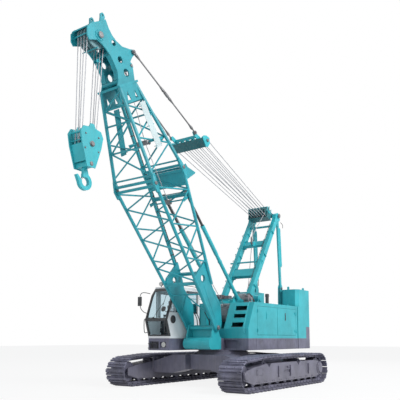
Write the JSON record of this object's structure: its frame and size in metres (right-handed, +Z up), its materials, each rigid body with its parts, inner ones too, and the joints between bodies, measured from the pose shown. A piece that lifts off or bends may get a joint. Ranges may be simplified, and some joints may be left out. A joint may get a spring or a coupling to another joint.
{
  "type": "lattice-boom crawler crane",
  "caption": "Crawler crane with a lattice boom on two tracks, slewing upper works, rear gantry, cab, winches and a hook block.",
  "frame": {"origin": "on the ground under the slewing axis, midway between the tracks", "axes": "+X forwards along the tracks and towards the boom, +Y to the crane's left, +Z up"},
  "size_m": [11.0232, 5.06, 10.1865],
  "materials": {
    "teal_paint": "gloss paint",
    "grey_paint": "satin paint",
    "white_paint": "gloss paint",
    "dark_paint": "satin paint",
    "track_steel": "cast, worn",
    "machined_steel": "worn",
    "glass": "clear",
    "fabric": "woven"
  },
  "bodies": {
    "undercarriage": {"carbody": "grey_paint", "slew_ring": "grey_paint", "track_frame_left": "grey_paint", "track_frame_right": "grey_paint", "track_left": "track_steel", "track_right": "track_steel", "track_wheels_left": "track_steel", "track_wheels_right": "track_steel"},
    "upper": {"deck": "grey_paint", "boom_foot_mount": "teal_paint", "house_left": "teal_paint", "house_right": "teal_paint", "engine": "dark_paint", "counterweight_base": "grey_paint", "counterweight_main": "teal_paint", "counterweight_blocks": "teal_paint", "winch_frame": "teal_paint", "gantry_frame": "teal_paint", "gantry_stays": "teal_paint", "cab_floor": "white_paint", "cab_roof": "white_paint", "cab_rear_wall": "white_paint", "cab_left_wall": "white_paint", "cab_right_wall": "white_paint", "cab_front_frame": "dark_paint", "cab_glass": "glass", "seat": "fabric", "console": "dark_paint"},
    "boom": {"boom_base_left": "teal_paint", "boom_base_right": "teal_paint", "boom_base_lacing": "teal_paint", "boom_tip_left": "teal_paint", "boom_tip_right": "teal_paint", "boom_tip_lacing": "teal_paint", "boom_head": "teal_paint"},
    "gantry_nest": {"gantry_nest": "teal_paint"},
    "spreader": {"spreader": "teal_paint"},
    "pendants": {"pendants": "machined_steel"},
    "backstop_tubes": {"backstop_tubes": "teal_paint"},
    "backstop_rods": {"backstop_rods": "machined_steel"},
    "fall": {"head_sheaves": "machined_steel"},
    "hook_block": {"hook_block": "teal_paint"},
    "hook": {"hook": "machined_steel"},
    "main_drum": {"drum_main": "dark_paint"},
    "hoist_drum": {"drum_boom_hoist": "dark_paint"},
    "left_front_door": {"house_door_left_front": "teal_paint"},
    "left_rear_door": {"house_door_left_rear": "teal_paint"},
    "right_door": {"house_door_right": "teal_paint"},
    "cab_door": {"cab_door": "white_paint", "cab_door_glass": "glass"}
  },
  "joints": [
    {"name": "slew", "type": "hinge", "parent": "undercarriage", "child": "upper", "pos_m": [0, 0, 1.115], "axis": [0, 0, 1], "continuous": true},
    {"name": "luff", "type": "hinge", "parent": "upper", "child": "boom", "pos_m": [1.18, 0, 1.87], "axis": [0, -1, 0], "range_deg": [-27.9, 16.1]},
    {"name": "nest_swing", "type": "hinge", "parent": "upper", "child": "gantry_nest", "pos_m": [-3.05, 0, 6.28], "axis": [0, -1, 0], "range_deg": [-15.84, 9.19]},
    {"name": "spreader_travel", "type": "slide", "parent": "gantry_nest", "child": "spreader", "axis": [0.9506, 0, 0.3105], "range_m": [-1.494, 2.585]},
    {"name": "pendant_swing", "type": "hinge", "parent": "boom", "child": "pendants", "pos_m": [5.0564, 0, 9.5136], "axis": [0, -1, 0], "range_deg": [-1.71, 2.89]},
    {"name": "backstop_swing", "type": "hinge", "parent": "upper", "child": "backstop_tubes", "pos_m": [-0.3, 0, 2.9], "axis": [0, -1, 0], "range_deg": [-24.84, 14.38]},
    {"name": "backstop_stroke", "type": "slide", "parent": "backstop_tubes", "child": "backstop_rods", "axis": [0.696, 0, 0.7181], "range_m": [-0.487, 0.84]},
    {"name": "fall_plumb", "type": "hinge", "parent": "boom", "child": "fall", "pos_m": [6.3282, 0, 9.4182], "axis": [0, -1, 0], "range_deg": [-16.2, 28]},
    {"name": "hook_travel", "type": "slide", "parent": "fall", "child": "hook_block", "axis": [0, 0, 1], "range_m": [-1.9, 0.9]},
    {"name": "hook_swivel", "type": "hinge", "parent": "hook_block", "child": "hook", "pos_m": [6.4182, 0, 5.9], "axis": [0, 0, 1], "continuous": true},
    {"name": "main_drum_turn", "type": "hinge", "parent": "upper", "child": "main_drum", "pos_m": [-0.42, 0, 2.42], "axis": [0, -1, 0], "continuous": true},
    {"name": "hoist_drum_turn", "type": "hinge", "parent": "upper", "child": "hoist_drum", "pos_m": [-1.55, 0, 2.95], "axis": [0, -1, 0], "continuous": true},
    {"name": "left_front_door_swing", "type": "hinge", "parent": "upper", "child": "left_front_door", "pos_m": [-0.034, 1.371, 2.12], "axis": [0, 0, -1], "range_deg": [0, 105]},
    {"name": "left_rear_door_swing", "type": "hinge", "parent": "upper", "child": "left_rear_door", "pos_m": [-2.896, 1.371, 2.12], "axis": [0, 0, 1], "range_deg": [0, 105]},
    {"name": "right_door_swing", "type": "hinge", "parent": "upper", "child": "right_door", "pos_m": [-0.704, -1.371, 2.12], "axis": [0, 0, 1], "range_deg": [0, 100]},
    {"name": "cab_door_swing", "type": "hinge", "parent": "upper", "child": "cab_door", "pos_m": [0.704, -1.586, 2.3], "axis": [0, 0, -1], "range_deg": [0, 100]}
  ],
  "couplings": [
    {"joint": "nest_swing", "follows": "luff", "ratio": 0.5643},
    {"joint": "spreader_travel", "follows": "luff", "m_per_rad": -5.298},
    {"joint": "pendant_swing", "follows": "luff", "ratio": -0.1},
    {"joint": "backstop_swing", "follows": "luff", "ratio": 0.8869},
    {"joint": "backstop_stroke", "follows": "luff", "m_per_rad": -1.714},
    {"joint": "fall_plumb", "follows": "luff", "ratio": -1}
  ]
}
